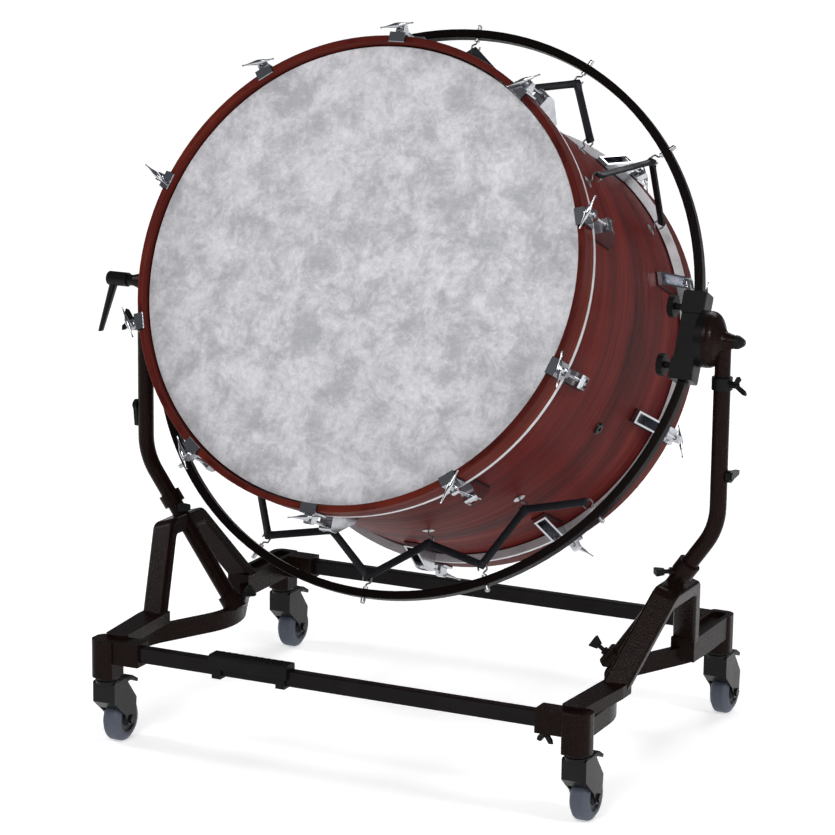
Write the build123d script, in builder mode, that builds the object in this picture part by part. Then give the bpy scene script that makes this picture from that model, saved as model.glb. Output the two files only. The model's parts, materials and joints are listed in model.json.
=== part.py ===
from build123d import *
import os
from math import cos, radians, sin, tan

os.makedirs("parts", exist_ok=True)

# Concert bass drum hung by rubber straps in a steel ring, which tilts on a rolling stand.
# Millimetres, +Z up, the playing head faces -Y, and +X is the player's left-hand post.
# The origin is on the floor, straight below the middle of the tilt axis.

# ---- drum -------------------------------------------------------------------------------
SHELL_R = 406.4
SHELL_WALL = 9.0
SHELL_LENGTH = 558.8
BEARING_BEVEL = 6.0
HEAD_FILM = 0.6
HEAD_R = 408.9
COLLAR_DEPTH = 36.0
FLESH_R_IN = 409.0
FLESH_R_OUT = 423.5
FLESH_WIDTH = 11.0
HOOP_R_IN = 412.0
HOOP_R_OUT = 424.0
HOOP_WIDTH = 45.0
HOOP_PROUD = 19.0
HOOP_ROUND = 3.5
CLAW_COUNT = 10
CLAW_WIDTH = 30.0
CLAW_PLATE = 3.0
PAD = 1.5
ROD_R = 3.2
ROD_RADIUS_AT = 438.0
ROD_HOLE_R = 4.0
T_BAR_LENGTH = 62.0
T_BAR_R = 4.6
T_BAR_TIP_R = 1.6
LUG_WIDTH = 24.0
LUG_LENGTH = 95.0
LUG_NEAR = -54.0
LUG_TOP_R = 446.0
GASKET = 1.6
VENT_ANGLE = 115.4
VENT_Z = -25.0
VENT_R = 6.0
VENT_FLANGE_R = 12.0

# ---- suspension -------------------------------------------------------------------------
AXIS_H = 800.0
DRUM_TILT = 22.8
RING_TILT = 25.2
RING_R_OUT = 534.4
RING_RADIAL = 15.4
RING_AXIAL = 21.4
RING_HOOK_STEP = 25.5
WIRE_R = 1.6
HOOK_REACH = 8.0
HOOK_RISE = 24.0
WASHER_R = 11.0
STRAP_WIDTH = 13.0
STRAP_THICK = 3.0
STRAP_GAP = 12.0

# ---- pivots and posts -------------------------------------------------------------------
CLAMP_HALF = 80.0
CLAMP_BLOCK = 40.0
KNOB_R = 20.0
KNOB_AT = 53.0
PLATE_R = 50.0
PLATE_X = 541.0
PLATE_THICK = 15.0
AXLE_R = 8.0
RUNNING = 0.05
GAP = 0.3
POST_X = 580.0
HEAD_END_X = 602.0
UPPER_R = 13.0
NECK_R = 14.0
LOWER_R = 15.0
COLLAR_TOP = 736.0
COLLAR_HEIGHT = 22.0
COLLAR_R = 18.5
UPPER_FOOT = 525.0
LEVER_Z = 560.0
BEND_Z = 465.6
BEND_RADIUS = 120.0
SLANT = 35.0
SLANT_FOOT_Z = 196.0

# ---- base -------------------------------------------------------------------------------
FRAME_OUT_X = 491.0
SLEEVE_IN_X = 391.0
TOWER_WIDTH = 48.0
TOWER_ROUND = 20.0
TOWER_Y = 339.0
TOWER_DEPTH = 50.0
TOWER_BOTTOM = 134.0
BLOCK_TOP = 206.0
SLEEVE_BOTTOM = 163.0
SLEEVE_FACE = 357.0
FOOT_BOTTOM = 190.0
FOOT_TOP = 212.0
LEG_LEAN = 17.0
LEG_FOOT_Y = 179.0
LEG_FOOT_Z = 207.0
LEG_SLOPE = 0.814
LEG_WIDTH = 46.0
LEG_THICK = 21.0
APEX_Z = 355.0
RAIL_X = 397.0
RAIL_THICK = 17.0
RAIL_BOTTOM = 154.0
RAIL_TOP = 187.0
BAR_Y = 340.0
BAR_DEPTH = 19.0
BAR_BOTTOM = 171.5
BAR_TOP = 200.5
BAR_WALL = 2.0
BAR_INSERT = 4.0
REST_X0 = -244.0
REST_X1 = -87.0

# ---- casters ----------------------------------------------------------------------------
WHEEL_R = 42.0
WHEEL_WIDTH = 36.0
HUB_R = 27.0
CASTER_X = 465.0
CASTER_TRAIL = 45.0
FORK_WALL = 3.0
FORK_HALF = 20.0
CASTER_AXLE_R = 5.0

DRUM = Plane(
    origin=(0, 0, AXIS_H),
    x_dir=(1, 0, 0),
    z_dir=(0, -cos(radians(DRUM_TILT)), sin(radians(DRUM_TILT))),
)
RING = Plane(
    origin=(0, 0, AXIS_H),
    x_dir=(1, 0, 0),
    z_dir=(0, -cos(radians(RING_TILT)), sin(radians(RING_TILT))),
)
FRONT_END = DRUM.offset(SHELL_LENGTH / 2)
BACK_END = Plane(DRUM.offset(-SHELL_LENGTH / 2).origin, x_dir=DRUM.x_dir, z_dir=-DRUM.z_dir)
UPRIGHT = Plane(origin=(0, 0, 0), x_dir=(0, 1, 0), z_dir=(1, 0, 0))
TILT_AXIS = Axis((0, 0, AXIS_H), (1, 0, 0))
SIDES = {"right": 1, "left": -1}
CORNERS = {
    "front_left": (-1, -1),
    "front_right": (1, -1),
    "back_left": (-1, 1),
    "back_right": (1, 1),
}


def save(piece, name):
    """Labels one finished piece and writes its file."""
    piece.label = name
    export_step(piece, f"parts/{name}.step")


def radial_plane(end):
    """A plane whose x is the radius and whose y is the drum's axis."""
    return Plane(end.origin, x_dir=end.x_dir, z_dir=-end.y_dir)


def spin_axis(end):
    """The drum's own axis, as seen from one end."""
    return Axis(end.origin, end.z_dir)


def turned(plane, angle):
    """The same plane, turned about its own normal."""
    return Plane(plane.location * Location((0, 0, 0), (0, 0, angle)))


def on_side(piece, side):
    """The right-hand piece, or its mirror image on the left."""
    return piece if side > 0 else piece.mirror(Plane.YZ)


def around(plane, angle, along=0.0):
    """A place at an angle from the top of the plane, clockwise from its front."""
    turn = Location((0, 0, along), (0, 0, -angle))
    return plane.location * turn


def point_around(plane, angle, radius, along=0.0):
    """The point at that angle, radius and height above the plane."""
    local = Vector(radius * sin(radians(angle)), radius * cos(radians(angle)), along)
    return plane.from_local_coords(local)


# ---- drum -------------------------------------------------------------------------------
def make_shell():
    inner = SHELL_R - SHELL_WALL
    half = SHELL_LENGTH / 2
    with BuildPart() as shell:
        with BuildSketch(radial_plane(DRUM)):
            Polygon(
                (inner, -half + BEARING_BEVEL),
                (inner + BEARING_BEVEL, -half),
                (SHELL_R, -half),
                (SHELL_R, half),
                (inner + BEARING_BEVEL, half),
                (inner, half - BEARING_BEVEL),
                align=None,
            )
        revolve(axis=spin_axis(DRUM))
        with Locations(around(DRUM, VENT_ANGLE, VENT_Z)):
            Cylinder(
                VENT_R,
                2 * SHELL_R,
                rotation=(-90, 0, 0),
                align=(Align.CENTER, Align.CENTER, Align.MIN),
                mode=Mode.SUBTRACT,
            )
    save(shell.part, "shell")


def make_air_vent():
    bore = 4.0
    with BuildPart() as one:
        with BuildSketch(UPRIGHT):
            Polygon(
                (SHELL_R - SHELL_WALL, bore),
                (SHELL_R + 4.0, bore),
                (SHELL_R + 4.0, VENT_FLANGE_R - 3.0),
                (SHELL_R + 0.6, VENT_FLANGE_R),
                (SHELL_R + 0.2, VENT_FLANGE_R),
                (SHELL_R + 0.2, VENT_R - RUNNING),
                (SHELL_R - SHELL_WALL, VENT_R - RUNNING),
                align=None,
            )
        revolve(axis=Axis.Y)
    with BuildPart() as air_vent:
        with Locations(around(DRUM, VENT_ANGLE, VENT_Z)):
            add(one.part)
    save(air_vent.part, "air_vent")


def make_head(end, name):
    with BuildPart() as head:
        with BuildSketch(radial_plane(end)):
            Polygon(
                (0, 0),
                (HEAD_R - HEAD_FILM, 0),
                (HEAD_R - HEAD_FILM, -COLLAR_DEPTH),
                (HEAD_R, -COLLAR_DEPTH),
                (HEAD_R, HEAD_FILM - 0.4),
                (HEAD_R - 0.4, HEAD_FILM),
                (0, HEAD_FILM),
                align=None,
            )
        revolve(axis=spin_axis(end))
    save(head.part, name)


def make_counterhoop(end, name):
    with BuildPart() as counterhoop:
        with BuildSketch(radial_plane(end)) as section:
            with Locations((HOOP_R_IN, HOOP_PROUD - HOOP_WIDTH)):
                Rectangle(HOOP_R_OUT - HOOP_R_IN, HOOP_WIDTH, align=(Align.MIN, Align.MIN))
            fillet(section.vertices().group_by(Axis.Y)[-1], HOOP_ROUND)
        revolve(axis=spin_axis(end))
    save(counterhoop.part, name)


def make_flesh_hoops():
    top = HOOP_PROUD - HOOP_WIDTH
    with BuildPart() as flesh_hoops:
        for end in (FRONT_END, BACK_END):
            with BuildSketch(radial_plane(end)):
                with Locations((FLESH_R_IN, top)):
                    Rectangle(
                        FLESH_R_OUT - FLESH_R_IN, FLESH_WIDTH, align=(Align.MIN, Align.MAX)
                    )
            revolve(axis=spin_axis(end))
    save(flesh_hoops.part, "flesh_hoops")


def make_claws():
    back = -18.0
    front = HOOP_PROUD + PAD
    floor = HOOP_R_OUT + PAD + 0.2
    with BuildPart() as one:
        with BuildSketch(UPRIGHT):
            Polygon(
                (floor, back),
                (floor, front + 0.2),
                (HOOP_R_IN - 1.0, front + 0.2),
                (HOOP_R_IN - 1.0, front + CLAW_PLATE),
                (floor + CLAW_PLATE, front + CLAW_PLATE),
                (floor + CLAW_PLATE, back),
                align=None,
            )
        extrude(amount=CLAW_WIDTH / 2, both=True)
        with BuildSketch(UPRIGHT):
            Polygon(
                (floor + 1.0, -14.0),
                (floor + 1.0, 17.0),
                (446.0, 17.0),
                (446.0, 4.0),
                align=None,
            )
        extrude(amount=CLAW_WIDTH / 4, both=True)
        with Locations((0, ROD_RADIUS_AT, 0)):
            Cylinder(ROD_HOLE_R, 100, mode=Mode.SUBTRACT)
        fillet(one.edges().filter_by(Axis.X).group_by(Axis.Y)[0], 0.8)
    with BuildPart(FRONT_END, BACK_END) as claws:
        with PolarLocations(0, CLAW_COUNT):
            add(one.part)
    save(claws.part, "claws")


def make_claw_pads():
    with BuildPart() as one:
        with BuildSketch(UPRIGHT):
            Polygon(
                (HOOP_R_OUT + 0.1, -17.0),
                (HOOP_R_OUT + 0.1, HOOP_PROUD + 0.1),
                (HOOP_R_IN + 1.0, HOOP_PROUD + 0.1),
                (HOOP_R_IN + 1.0, HOOP_PROUD + PAD),
                (HOOP_R_OUT + PAD, HOOP_PROUD + PAD),
                (HOOP_R_OUT + PAD, -17.0),
                align=None,
            )
        extrude(amount=CLAW_WIDTH / 2 + 1, both=True)
    with BuildPart(FRONT_END, BACK_END) as claw_pads:
        with PolarLocations(0, CLAW_COUNT):
            add(one.part)
    save(claw_pads.part, "claw_pads")


def make_tension_rods():
    """Each rod screws into a barrel nut, and its T-handle stops at its own angle."""
    bar_z = 32.0
    turns = (12, 60, -35, 20, 35, 8, -25, 15, 75, -20)
    with BuildPart() as rod:
        with Locations((0, ROD_RADIUS_AT, LUG_NEAR - 32)):
            Cylinder(ROD_R, 104, align=(Align.CENTER, Align.CENTER, Align.MIN))
        with Locations((0, ROD_RADIUS_AT, 17.2)):
            Cylinder(6.5, 3.0, align=(Align.CENTER, Align.CENTER, Align.MIN))
        with Locations((0, ROD_RADIUS_AT, 20.2)):
            Cone(5.5, 4.2, 12, align=(Align.CENTER, Align.CENTER, Align.MIN))
    with BuildPart() as nut:
        with Locations((0, ROD_RADIUS_AT, LUG_NEAR - 17)):
            Cylinder(6.0, LUG_WIDTH - 8, rotation=(0, 90, 0))
            Cylinder(ROD_R + RUNNING, 30, mode=Mode.SUBTRACT)
    with BuildPart() as bar:
        with BuildSketch(Plane.XY):
            with BuildLine():
                Polyline(
                    (T_BAR_LENGTH / 2, 0),
                    (-T_BAR_LENGTH / 2, 0),
                    (-T_BAR_LENGTH / 2, T_BAR_TIP_R),
                )
                Spline(
                    (-T_BAR_LENGTH / 2, T_BAR_TIP_R),
                    (-T_BAR_LENGTH / 5, T_BAR_R * 0.62),
                    (0, T_BAR_R),
                    (T_BAR_LENGTH / 5, T_BAR_R * 0.62),
                    (T_BAR_LENGTH / 2, T_BAR_TIP_R),
                )
                Line((T_BAR_LENGTH / 2, T_BAR_TIP_R), (T_BAR_LENGTH / 2, 0))
            make_face()
        revolve(axis=Axis.X)
    with BuildPart() as tension_rods:
        for end in (FRONT_END, BACK_END):
            for index, turn in enumerate(turns):
                angle = index * 360 / CLAW_COUNT
                with Locations(around(end, angle)):
                    add(rod.part)
                    add(nut.part)
                handle = around(end, angle) * Location((0, ROD_RADIUS_AT, bar_z), (0, 0, turn))
                with Locations(handle):
                    add(bar.part)
    save(tension_rods.part, "tension_rods")


def make_lugs():
    """An open channel, tall at the rod's end, with the barrel nut between its walls."""
    far = LUG_NEAR - LUG_LENGTH
    seat = SHELL_R + GASKET + 0.3
    with BuildPart() as one:
        with BuildSketch(UPRIGHT):
            Polygon(
                (seat, LUG_NEAR),
                (LUG_TOP_R - 3, LUG_NEAR),
                (LUG_TOP_R, LUG_NEAR - 4),
                (LUG_TOP_R, LUG_NEAR - 24),
                (seat + 7, far),
                (seat, far),
                align=None,
            )
        extrude(amount=LUG_WIDTH / 2, both=True)
        with BuildSketch(Plane.XZ.offset(-LUG_TOP_R - 5)):
            with Locations((0, LUG_NEAR - 5)):
                Rectangle(LUG_WIDTH - 7, LUG_LENGTH - 9, align=(Align.CENTER, Align.MAX))
        extrude(amount=LUG_TOP_R - seat + 1, mode=Mode.SUBTRACT)
        with Locations((0, ROD_RADIUS_AT, LUG_NEAR)):
            Cylinder(ROD_HOLE_R, 30, mode=Mode.SUBTRACT)
    with BuildPart(FRONT_END, BACK_END) as lugs:
        with PolarLocations(0, CLAW_COUNT):
            add(one.part)
    save(lugs.part, "lugs")


def make_lug_gaskets():
    with BuildPart() as one:
        with BuildSketch(UPRIGHT):
            with Locations((SHELL_R + 0.1, LUG_NEAR + 1.5)):
                Rectangle(GASKET, LUG_LENGTH + 3, align=(Align.MIN, Align.MAX))
        extrude(amount=LUG_WIDTH / 2 + 1.5, both=True)
    with BuildPart(FRONT_END, BACK_END) as lug_gaskets:
        with PolarLocations(0, CLAW_COUNT):
            add(one.part)
    save(lug_gaskets.part, "lug_gaskets")


# ---- suspension -------------------------------------------------------------------------
def shell_hook_places():
    """Twelve hooks: eight round the middle, and a front and a back one at each shoulder."""
    places = []
    for side in (-1, 1):
        for step in (0.5, 1.5, 5.55, 6.55):
            places.append((side * step * RING_HOOK_STEP, 0.0))
        for along in (147.0, -180.0):
            places.append((side * 56.2, along))
    return places


def ring_hook_places():
    """Ten hooks: five over the top and five under the bottom, evenly spaced."""
    top = [step * RING_HOOK_STEP for step in (-2, -1, 0, 1, 2)]
    bottom = [180 + angle for angle in top]
    return top + bottom


def make_hook(base, direction):
    """A wire hook standing at radius base and opening away from it."""
    path = (
        (0, 0),
        (0, 9.0),
        (-HOOK_REACH, 13.0),
        (-HOOK_REACH, HOOK_RISE),
        (HOOK_REACH, HOOK_RISE),
        (HOOK_REACH, HOOK_RISE - 9.0),
    )
    points = [(x, base + direction * rise) for x, rise in path]
    with BuildPart() as hook:
        with BuildLine(Plane.XY) as line:
            FilletPolyline(*points, radius=2.6)
        start = Plane(origin=line.line @ 0, z_dir=line.line % 0)
        with BuildSketch(start):
            Circle(WIRE_R)
        sweep(path=line.line)
    return hook.part


def make_strap_hooks():
    shell_hook = make_hook(SHELL_R + 0.2, 1)
    ring_hook = make_hook(RING_R_OUT - RING_RADIAL - 0.2, -1)
    with BuildPart() as strap_hooks:
        for angle, along in shell_hook_places():
            with Locations(around(DRUM, angle, along)):
                add(shell_hook)
        for angle in ring_hook_places():
            with Locations(around(RING, angle)):
                add(ring_hook)
    save(strap_hooks.part, "strap_hooks")


def make_hook_fasteners():
    """A dished washer round each shell hook; an acorn nut and a collar on each ring hook."""
    inner = RING_R_OUT - RING_RADIAL
    with BuildPart() as washer:
        with BuildSketch(UPRIGHT):
            Polygon(
                (SHELL_R + 0.3, WIRE_R + 0.2),
                (SHELL_R + 0.3, WASHER_R),
                (SHELL_R + 1.1, WASHER_R),
                (SHELL_R + 2.4, WASHER_R * 0.5),
                (SHELL_R + 2.8, WIRE_R + 0.2),
                align=None,
            )
        revolve(axis=Axis.Y)
    with BuildPart() as nut:
        with Locations((0, RING_R_OUT + 0.1, 0)):
            Cylinder(4.5, 11, rotation=(-90, 0, 0), align=(Align.CENTER, Align.CENTER, Align.MIN))
        fillet(nut.faces().sort_by(Axis.Y)[-1].edges(), 3)
    with BuildPart() as collar:
        with BuildSketch(UPRIGHT):
            with Locations((inner - 0.1, WIRE_R + 0.2)):
                Rectangle(5, 3, align=(Align.MAX, Align.MIN))
        revolve(axis=Axis.Y)
    with BuildPart() as fasteners:
        for angle, along in shell_hook_places():
            with Locations(around(DRUM, angle, along)):
                add(washer.part)
        for angle in ring_hook_places():
            with Locations(around(RING, angle)):
                add(nut.part)
                add(collar.part)
    save(fasteners.part, "hook_fasteners")


def strap_pairs():
    """Each strap joins a hook on the shell to a hook on the ring."""
    pairs = []
    for side in (-1, 1):
        for shell_step, ring_step in ((0.5, 0), (0.5, 1), (1.5, 1)):
            pairs.append((side * shell_step, 0.0, side * ring_step))
        for along in (147.0, -180.0):
            pairs.append((side * 56.2 / RING_HOOK_STEP, along, side * 2))
        for shell_step, ring_angle in ((5.55, 129.0), (5.55, 154.5), (6.55, 154.5), (6.55, 180)):
            pairs.append((side * shell_step, 0.0, side * ring_angle / RING_HOOK_STEP))
    return pairs


def make_straps():
    with BuildPart() as straps:
        for shell_step, along, ring_step in strap_pairs():
            shell_angle = shell_step * RING_HOOK_STEP
            ring_angle = ring_step * RING_HOOK_STEP
            low = point_around(DRUM, shell_angle, SHELL_R + HOOK_RISE, along)
            high = point_around(RING, ring_angle, RING_R_OUT - RING_RADIAL - HOOK_RISE)
            run = high - low
            direction = run.normalized()
            flat = DRUM.z_dir.cross(direction).normalized()
            start = low + direction * STRAP_GAP
            with BuildSketch(Plane(start, x_dir=flat, z_dir=direction)):
                Rectangle(STRAP_WIDTH, STRAP_THICK)
            extrude(amount=run.length - 2 * STRAP_GAP)
    save(straps.part, "suspension_straps")


def make_suspension_ring():
    with BuildPart() as ring:
        with BuildSketch(radial_plane(RING)):
            with Locations((RING_R_OUT - RING_RADIAL / 2, 0)):
                RectangleRounded(RING_RADIAL, RING_AXIAL, 2.5)
        revolve(axis=spin_axis(RING))
    save(ring.part, "suspension_ring")


# ---- pivots -----------------------------------------------------------------------------
def make_ring_clamps():
    """A curved clamp body follows the ring, with a thicker block at each end."""
    inner = RING_R_OUT - 34.0
    outer = PLATE_X - GAP
    with BuildPart() as ring_clamps:
        for side in (-1, 1):
            with BuildSketch(RING):
                with Locations((side * (inner + outer) / 2, 0)):
                    Rectangle(outer - inner, 2 * CLAMP_HALF)
            extrude(amount=17, both=True)
            for step in (-1, 1):
                with BuildSketch(RING):
                    with Locations((side * 519.0, step * (CLAMP_HALF - CLAMP_BLOCK / 2))):
                        RectangleRounded(42, CLAMP_BLOCK, 4)
                extrude(amount=20, both=True)
        with BuildSketch(radial_plane(RING)):
            with Locations((RING_R_OUT - RING_RADIAL / 2, 0)):
                RectangleRounded(RING_RADIAL + 0.2, RING_AXIAL + 0.2, 2.5)
        revolve(axis=spin_axis(RING), mode=Mode.SUBTRACT)
    save(ring_clamps.part, "ring_clamps")


def make_ring_clamp_knob(side, step, name):
    """A fluted round knob whose screw presses the block on to the ring."""
    height = step * KNOB_AT
    face = 519.0 - 21.0
    seat = RING.from_local_coords(Vector(side * (face - GAP), height, 0))
    inward = Vector(-side, 0, 0)
    plane = Plane(seat, x_dir=RING.y_dir, z_dir=inward)
    with BuildPart() as knob:
        with BuildSketch(plane):
            Circle(6)
        extrude(amount=18)
        with BuildSketch(plane.offset(16)):
            Circle(KNOB_R)
            with PolarLocations(KNOB_R + 1.2, 12):
                Circle(2.4, mode=Mode.SUBTRACT)
        extrude(amount=11)
        fillet(knob.faces().sort_by(Axis.X)[0 if side > 0 else -1].outer_wire().edges(), 1.0)
    save(knob.part, name)


def make_pivot_plates():
    with BuildPart() as pivot_plates:
        for side in (-1, 1):
            face = Plane((side * PLATE_X, 0, AXIS_H), x_dir=(0, 1, 0), z_dir=(side, 0, 0))
            with BuildSketch(face):
                Circle(PLATE_R)
            extrude(amount=PLATE_THICK)
            with BuildSketch(face.offset(PLATE_THICK)):
                Circle(AXLE_R)
            extrude(amount=HEAD_END_X - PLATE_X - PLATE_THICK + 12)
    save(pivot_plates.part, "pivot_plates")


def make_pivot_post(side, name):
    """Cone-shaped bearing housing with the sliding upper post below it."""
    start = PLATE_X + PLATE_THICK + GAP
    bottom = COLLAR_TOP + 1.0
    with BuildPart() as post:
        with BuildSketch(Plane.XZ.offset(0)):
            with BuildLine():
                Polyline((start, AXIS_H), (start, AXIS_H + PLATE_R), (start + 5, AXIS_H + 49))
                Spline(
                    (start + 5, AXIS_H + 49),
                    (start + 15, AXIS_H + 40),
                    (start + 23, AXIS_H + 24),
                    (start + 30, AXIS_H + 16),
                )
                Polyline(
                    (start + 30, AXIS_H + 16),
                    (HEAD_END_X, AXIS_H + 11.5),
                    (HEAD_END_X, AXIS_H),
                    (start, AXIS_H),
                )
            make_face()
        revolve(axis=TILT_AXIS)
        with BuildSketch(Plane.XY.offset(bottom)):
            with Locations((POST_X, 0)):
                Circle(NECK_R)
        extrude(amount=AXIS_H - bottom)
        with BuildSketch(Plane.XY.offset(UPPER_FOOT)):
            with Locations((POST_X, 0)):
                Circle(UPPER_R)
        extrude(amount=bottom - UPPER_FOOT)
        with BuildSketch(Plane((start - 5, 0, AXIS_H), x_dir=(0, 1, 0), z_dir=(1, 0, 0))):
            Circle(AXLE_R + RUNNING)
        extrude(amount=HEAD_END_X - start + 10, mode=Mode.SUBTRACT)
    save(on_side(post.part, side), name)


def make_axle_cap():
    start = HEAD_END_X + GAP
    with BuildPart() as cap:
        with BuildSketch(Plane.XZ):
            Polygon(
                (start, AXIS_H + AXLE_R + RUNNING),
                (start, AXIS_H + 12.5),
                (start + 6, AXIS_H + 12),
                (start + 13, AXIS_H + 8),
                (start + 17, AXIS_H + 5),
                (start + 17, AXIS_H),
                (HEAD_END_X + 12.2, AXIS_H),
                (HEAD_END_X + 12.2, AXIS_H + AXLE_R + RUNNING),
                align=None,
            )
        revolve(axis=TILT_AXIS)
    save(cap.part, "axle_cap")


def make_tilt_lock_lever():
    """Clamping lever screwed on the left axle: a hub and a tapered arm leaning outward."""
    start = HEAD_END_X + GAP
    hub = Plane((-start, 0, AXIS_H), x_dir=(0, 1, 0), z_dir=(-1, 0, 0))
    with BuildPart() as lever:
        with BuildSketch(hub):
            Circle(10.5)
        extrude(amount=14)
        with BuildSketch(hub.offset(14)):
            Circle(13.5)
        extrude(amount=44)
        fillet(lever.faces().sort_by(Axis.X)[0].edges(), 4)
        with BuildSketch(Plane((-start - 45, 0, AXIS_H - 6), x_dir=(0, 1, 0), z_dir=(0, 0, -1))):
            SlotOverall(20, 14)
        with BuildSketch(Plane((-start - 76, 0, AXIS_H - 104), x_dir=(0, 1, 0), z_dir=(0, 0, -1))):
            SlotOverall(13, 8)
        loft()
        with BuildSketch(hub.offset(-1)):
            Circle(AXLE_R + RUNNING)
        extrude(amount=13.5, mode=Mode.SUBTRACT)
    save(lever.part, "tilt_lock_lever")


# ---- posts ------------------------------------------------------------------------------
SLANT_DIR = Vector(-sin(radians(SLANT)), 0, -cos(radians(SLANT)))


def slant_point(height):
    """The point of the right-hand slanted post centreline at a height."""
    return Vector(POST_X - (BEND_Z - height) * tan(radians(SLANT)), 0, height)


def make_lower_posts():
    foot = slant_point(SLANT_FOOT_Z)
    with BuildPart() as post:
        with BuildLine() as route:
            FilletPolyline(
                (POST_X, 0, COLLAR_TOP - 2),
                (POST_X, 0, BEND_Z),
                (foot.X, foot.Y, foot.Z),
                radius=BEND_RADIUS,
            )
        with BuildSketch(Plane.XY.offset(COLLAR_TOP - 2)):
            with Locations((POST_X, 0)):
                Circle(LOWER_R)
                Circle(UPPER_R + RUNNING, mode=Mode.SUBTRACT)
        sweep(path=route.line)
    with BuildPart() as lower_posts:
        add(post.part)
        add(post.part.mirror(Plane.YZ))
    save(lower_posts.part, "lower_posts")


def wing_plane(side):
    """Seat of a collar's wing screw, which points outward and forward."""
    direction = Vector(side * cos(radians(12)), -sin(radians(12)), 0)
    height = COLLAR_TOP - COLLAR_HEIGHT / 2
    origin = Vector(side * POST_X, 0, height) + direction * (COLLAR_R + 4.5)
    return Plane(origin, x_dir=(0, 0, 1), z_dir=direction)


def make_post_collars():
    with BuildPart() as post_collars:
        for side in (-1, 1):
            with BuildSketch(Plane.XY.offset(COLLAR_TOP - COLLAR_HEIGHT)):
                with Locations((side * POST_X, 0)):
                    Circle(COLLAR_R)
            extrude(amount=COLLAR_HEIGHT)
            with BuildSketch(wing_plane(side).offset(-10)):
                Circle(6)
            extrude(amount=10)
            with BuildSketch(Plane.XY.offset(COLLAR_TOP - 2)):
                with Locations((side * POST_X, 0)):
                    Circle(UPPER_R + 0.5)
            extrude(amount=10, mode=Mode.SUBTRACT)
            with BuildSketch(Plane.XY.offset(COLLAR_TOP - COLLAR_HEIGHT - 5)):
                with Locations((side * POST_X, 0)):
                    Circle(LOWER_R + RUNNING)
            extrude(amount=COLLAR_HEIGHT + 3, mode=Mode.SUBTRACT)
    save(post_collars.part, "post_collars")


def make_wing_screw(plane, name, turn=0.0, span=20.0):
    """A thumb screw with two rounded wings."""
    plane = turned(plane.offset(GAP), turn)
    side = Plane(plane.origin, x_dir=plane.x_dir, z_dir=plane.y_dir)
    with BuildPart() as screw:
        with BuildSketch(plane):
            Circle(6)
        extrude(amount=9)
        with BuildSketch(side):
            for wing in (-1, 1):
                with BuildLine():
                    Polyline(
                        (0, -2),
                        (wing * 6, -2),
                        (wing * span, -12),
                        (wing * (span + 2), -19),
                        (wing * (span - 6), -20),
                        (0, -9),
                        (0, -2),
                    )
                make_face()
        extrude(amount=2.2, both=True)
    save(screw.part, name)


def make_height_lever(side, turn, name):
    """Small clamping lever on the outer side of a lower post."""
    origin = Vector(side * (POST_X + LOWER_R + GAP), 0, LEVER_Z)
    face = turned(Plane(origin, x_dir=(0, 1, 0), z_dir=(side, 0, 0)), turn)
    with BuildPart() as lever:
        with BuildSketch(face):
            Circle(11)
            with BuildLine():
                Polyline((-9, -2), (-4, -40), (4, -40), (9, -2), (-9, -2))
            make_face()
        extrude(amount=8)
        with BuildSketch(face.offset(8)):
            Circle(7)
        extrude(amount=3)
    save(lever.part, name)


def knob_seat(level):
    """Where a T-knob screws in: the upper one points inward and forward."""
    if level == "upper":
        height = 379.0
        direction = Vector(-0.8, -0.6, 0)
    else:
        height = 197.0
        direction = Vector(-cos(radians(SLANT)), 0, sin(radians(SLANT)))
    origin = slant_point(height) + direction * 26.0
    return Plane(origin, z_dir=direction)


def make_post_clamps():
    """Split collars that hold each slanted post at the apex and at the rail."""
    with BuildPart() as right:
        for level, top, length in (("upper", 395.0, 24.0), ("lower", 212.0, 34.0)):
            start = slant_point(top)
            with BuildSketch(Plane(start, x_dir=(0, 1, 0), z_dir=SLANT_DIR)):
                Circle(21)
            extrude(amount=length)
            seat = knob_seat(level)
            with BuildSketch(seat.offset(-14)):
                Circle(7.5)
            extrude(amount=14)
        with BuildSketch(Plane.XY.offset(RAIL_TOP)):
            with Locations((RAIL_X - 6, 0)):
                RectangleRounded(30, 34, 6)
        extrude(amount=12)
        with Locations((RAIL_X, 0, RAIL_TOP)):
            Box(90, 90, 40, align=(Align.CENTER, Align.CENTER, Align.MAX), mode=Mode.SUBTRACT)
        with BuildSketch(Plane(slant_point(440.0), x_dir=(0, 1, 0), z_dir=SLANT_DIR)):
            Circle(LOWER_R + RUNNING)
        extrude(amount=300, mode=Mode.SUBTRACT)
    with BuildPart() as post_clamps:
        add(right.part)
        add(right.part.mirror(Plane.YZ))
    save(post_clamps.part, "post_clamps")


def make_t_knob(side, level, name):
    plane = knob_seat(level).offset(GAP)
    with BuildPart() as knob:
        with BuildSketch(plane):
            Circle(4)
        extrude(amount=12)
        with BuildSketch(plane.offset(10)):
            RectangleRounded(12, 12, 3)
        with BuildSketch(plane.offset(26)):
            RectangleRounded(26, 13, 4)
        loft()
        fillet(knob.faces().sort_by(Axis(plane.origin, plane.z_dir))[-1].edges(), 1.5)
    save(on_side(knob.part, side), name)


# ---- base -------------------------------------------------------------------------------
LEG_PLANE = Plane(
    origin=(FRAME_OUT_X - 2 - LEG_WIDTH / 2 / cos(radians(LEG_LEAN)), 0, LEG_FOOT_Z),
    x_dir=(0, 1, 0),
    z_dir=(cos(radians(LEG_LEAN)), 0, -sin(radians(LEG_LEAN))),
)


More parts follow.
